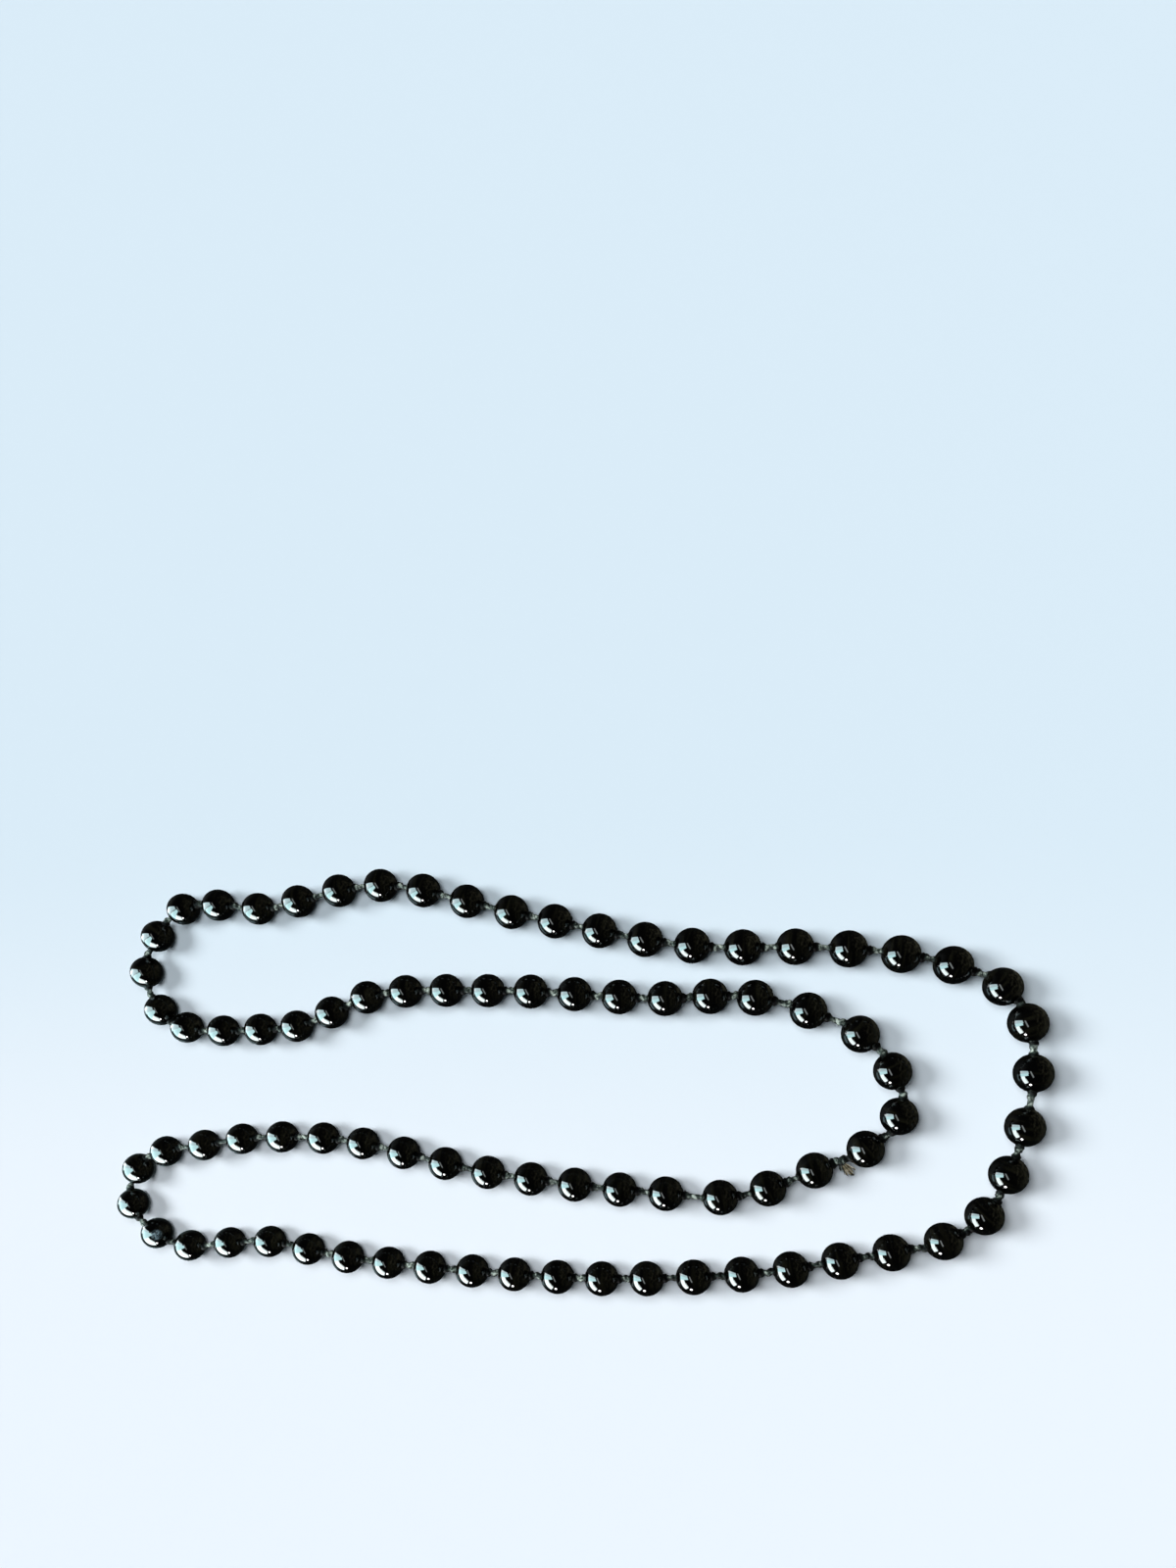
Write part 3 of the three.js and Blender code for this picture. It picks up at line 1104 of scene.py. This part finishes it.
def makeLamps(settings):
    for name, (azimuth, elevation, distance, width, share) in settings["lamps"].items():
        data = bpy.data.lights.new(name, "POINT")
        data.shadow_soft_size = distance * sin(radians(width / 2))
        # a point lamp's power for its share of the light, which comes in at a slant
        data.energy = lightLevel(settings) * share * 4 * pi ** 2 / sin(radians(elevation))
        data.use_nodes = True
        # big lamps with reflectors: their light hardly fades over the table
        even = addNode(data.node_tree, "ShaderNodeLightFalloff", {"Strength": 1.0})
        glow = data.node_tree.nodes["Emission"]
        data.node_tree.links.new(even.outputs["Constant"], glow.inputs["Strength"])
        lamp = addObject(name, data)
        lamp.location = directionOf(azimuth, elevation) * distance
        lamp.visible_glossy = False
        lamp.visible_camera = False


# The world: a faint even light for surfaces, the dark room for reflections, and the floor's
# shade behind everything for the camera
def makeRoom(studio, settings):
    world = bpy.data.worlds.new("studio")
    world.use_nodes = True
    tree = world.node_tree
    tree.nodes.clear()
    add = partial(addNode, tree)
    ray = add("ShaderNodeLightPath")
    direction = add("ShaderNodeTexCoord").outputs["Generated"]
    parts = add("ShaderNodeSeparateXYZ", {"Vector": direction})
    low = add("ShaderNodeMapRange", {
        "Value": parts.outputs["Z"], "From Min": settings["highFrom"], "From Max": 0.0,
    }, interpolation_type="SMOOTHSTEP")
    across = add("ShaderNodeMath", {
        0: parts.outputs["X"], 1: 0.5, 2: 0.5,
    }, operation="MULTIPLY_ADD")
    horizon = add("ShaderNodeValToRGB", {"Fac": across}, ramp=settings["horizon"])
    blurred = add("ShaderNodeTexNoise", {
        "Vector": direction, "Scale": settings["patchScale"], "Detail": 4, "Roughness": 0.6,
    })
    facing = add("ShaderNodeVectorMath", {
        0: direction, 1: settings["patchDirection"],
    }, operation="DOT_PRODUCT")
    patch, region = (
        add("ShaderNodeMapRange", {
            "Value": value, "From Min": start, "From Max": full,
        }, interpolation_type="SMOOTHSTEP")
        for value, (start, full) in ((blurred, settings["patchEdge"]), (facing, settings["patchSpread"]))
    )
    amount = add("ShaderNodeMath", {0: patch, 1: region}, operation="MULTIPLY")
    ambient = lightLevel(studio) * studio["ambientShare"]

    # from the high dark, each light is laid over the last by its share
    seen = settings["high"]
    for share, light in ((low, horizon), (amount, settings["patches"])):
        seen = add("ShaderNodeMix", {"Factor": share, "A": seen, "B": light}, data_type="RGBA")
    lit = add("ShaderNodeMix", {
        "Factor": ray.outputs["Is Glossy Ray"], "A": (ambient, ambient, ambient, 1), "B": seen,
    }, data_type="RGBA")
    shown = add("ShaderNodeMix", {
        "Factor": ray.outputs["Is Camera Ray"], "A": lit, "B": toLinear(studio["floorFar"]),
    }, data_type="RGBA")
    background = add("ShaderNodeBackground", {"Color": shown})
    add("ShaderNodeOutputWorld", {"Surface": background})
    bpy.context.scene.world = world


# One glowing pane with soft edges that only shows as a reflection
def makePane(name, facing, centre, width, height, softness, colour, strength):
    material = newMaterial(name)
    tree = material.node_tree
    add = partial(addNode, tree)
    place = add("ShaderNodeTexCoord").outputs["Object"]
    inward = add("ShaderNodeVectorMath", {0: place}, operation="ABSOLUTE")
    parts = add("ShaderNodeSeparateXYZ", {"Vector": inward})
    edges = [
        add("ShaderNodeMapRange", {
            "Value": parts.outputs[axis], "From Min": size / 2, "From Max": size / 2 - softness,
        }, interpolation_type="SMOOTHSTEP")
        for axis, size in (("X", width), ("Y", height))
    ]
    mask = add("ShaderNodeMath", {0: edges[0], 1: edges[1]}, operation="MULTIPLY")
    glow = add("ShaderNodeEmission", {"Color": toLinear(colour), "Strength": strength})
    clear = add("ShaderNodeBsdfTransparent")
    shown = add("ShaderNodeMixShader", {0: mask, 1: clear, 2: glow})
    add("ShaderNodeOutputMaterial", {"Surface": shown})
    pane = flatPanel(name, width, height, material)
    pane.matrix_world = Matrix.Translation(centre) @ facing.to_4x4()
    pane.visible_camera = False
    pane.visible_diffuse = False
    pane.visible_shadow = False


def makeWindow(settings):
    outward = directionOf(settings["azimuth"], settings["elevation"])
    across = Vector((0, 0, 1)).cross(outward).normalized()
    upward = outward.cross(across)
    facing = Matrix((across, upward, outward)).transposed()
    for name, (distance, s, t, *lengths, colour, strength) in settings["panes"].items():
        centre = (outward + across * s + upward * t) * distance
        width, height, softness = (length * distance for length in lengths)
        makePane(name, facing, centre, width, height, softness, colour, strength)
    centre, *rest = settings["cloth"]
    makePane("cloth", Matrix.Identity(3), Vector(centre), *rest)


makeFloor(studioSettings)
makeLamps(studioSettings)
makeRoom(studioSettings, roomSettings)
makeWindow(windowSettings)
print("studio lit")
